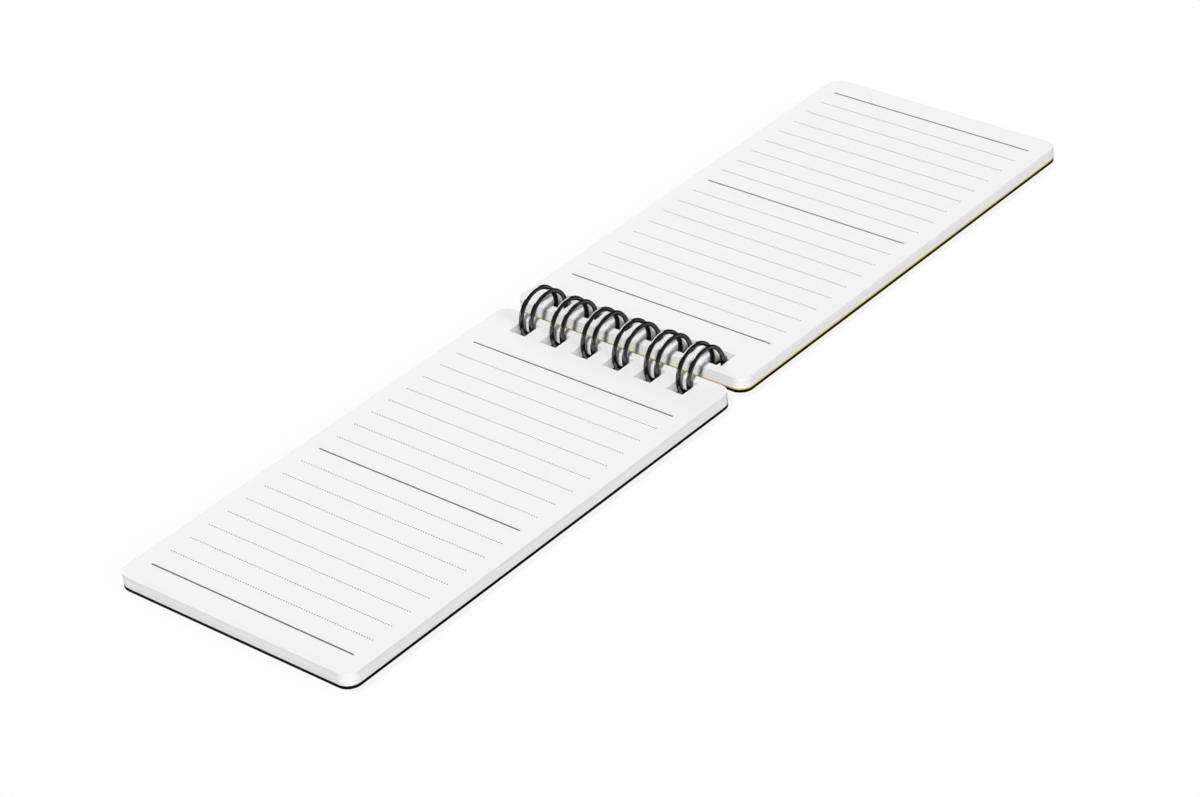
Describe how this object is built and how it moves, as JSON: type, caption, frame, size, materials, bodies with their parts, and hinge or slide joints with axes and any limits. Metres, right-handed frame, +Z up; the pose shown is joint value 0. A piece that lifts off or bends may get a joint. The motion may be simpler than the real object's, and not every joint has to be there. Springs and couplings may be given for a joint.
{
  "type": "spiral notebook",
  "caption": "Top-bound pocket notepad lying open flat, with ruled pages, thin board covers, a coloured lining sheet and a closed twin-loop wire.",
  "frame": {"origin": "under the middle of the ring axis, at the lowest point of the wire, where the open pad meets the table", "axes": "+X along the spine, +Y from the ring axis over the turned half (front cover side), +Z up out of the open pages"},
  "size_m": [0.0618, 0.2344, 0.0124],
  "materials": {
    "page_paper": "matte",
    "lining_paper": "matte",
    "cover_board": "satin",
    "coated_wire": "gloss"
  },
  "bodies": {
    "back_half": {"back_pages": "page_paper", "wire_binding": "coated_wire"},
    "back_cover": {"back_cover": "cover_board"},
    "front_pages": {"front_pages": "page_paper"},
    "front_cover": {"front_cover": "cover_board", "yellow_lining": "lining_paper"}
  },
  "joints": [
    {"name": "pages_turn", "type": "hinge", "parent": "back_half", "child": "front_pages", "pos_m": [0, 0, 0.0062], "axis": [1, 0, 0], "range_deg": [-4, 180]},
    {"name": "front_cover_swing", "type": "hinge", "parent": "front_pages", "child": "front_cover", "pos_m": [0, 0, 0.0062], "axis": [1, 0, 0], "range_deg": [-18, 0]},
    {"name": "back_cover_swing", "type": "hinge", "parent": "back_half", "child": "back_cover", "pos_m": [0, 0, 0.0062], "axis": [1, 0, 0], "range_deg": [0, 18]}
  ]
}
